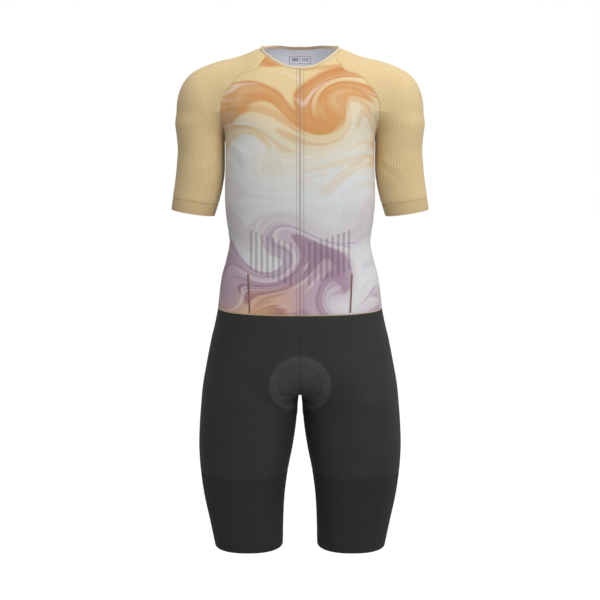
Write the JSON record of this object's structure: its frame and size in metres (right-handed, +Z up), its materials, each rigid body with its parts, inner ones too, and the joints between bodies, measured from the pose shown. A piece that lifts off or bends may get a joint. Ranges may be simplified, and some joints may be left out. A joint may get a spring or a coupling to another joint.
{
  "type": "triathlon suit",
  "caption": "Worn one-piece triathlon suit, hollow: short raglan sleeves, front zip, ribbed marbled top, dark thigh-length shorts with banded legs and a seat pad.",
  "frame": {"origin": "between the shoulders, level with the neck end of the shoulder line, where the wearer carries the suit", "axes": "+Z up, +X to the wearer's left, +Y to the wearer's back, so that the front faces -Y"},
  "size_m": [0.498, 0.238, 0.988],
  "materials": {
    "front_cloth": "fine upright rib knit with a marbled print, faint sheen",
    "back_cloth": "fine upright rib knit with a marbled print, faint sheen",
    "sleeve_cloth": "sand rib knit, faint sheen",
    "trim_cloth": "plain elastic knit, matte",
    "shorts_cloth": "smooth dense knit, soft sheen",
    "leg_band_cloth": "smooth elastic knit, matte",
    "zip_tape": "woven tape, matte",
    "zip_teeth": "moulded coil, satin",
    "pocket_edge": "flat elastic edging, matte",
    "pad_cloth": "brushed knit over foam, matte"
  },
  "bodies": {
    "root": {"front_left": "front_cloth", "front_right": "front_cloth", "back": "back_cloth", "sleeve_left": "sleeve_cloth", "sleeve_right": "sleeve_cloth", "cuff_left": "trim_cloth", "cuff_right": "trim_cloth", "short_left": "shorts_cloth", "short_right": "shorts_cloth", "leg_band_left": "leg_band_cloth", "leg_band_right": "leg_band_cloth", "neck_binding": "trim_cloth", "zip_tape_left": "zip_tape", "zip_tape_right": "zip_tape", "zip_chain": "zip_teeth", "pocket_edge_left": "pocket_edge", "pocket_edge_right": "pocket_edge", "seat_pad": "pad_cloth"}
  },
  "joints": []
}
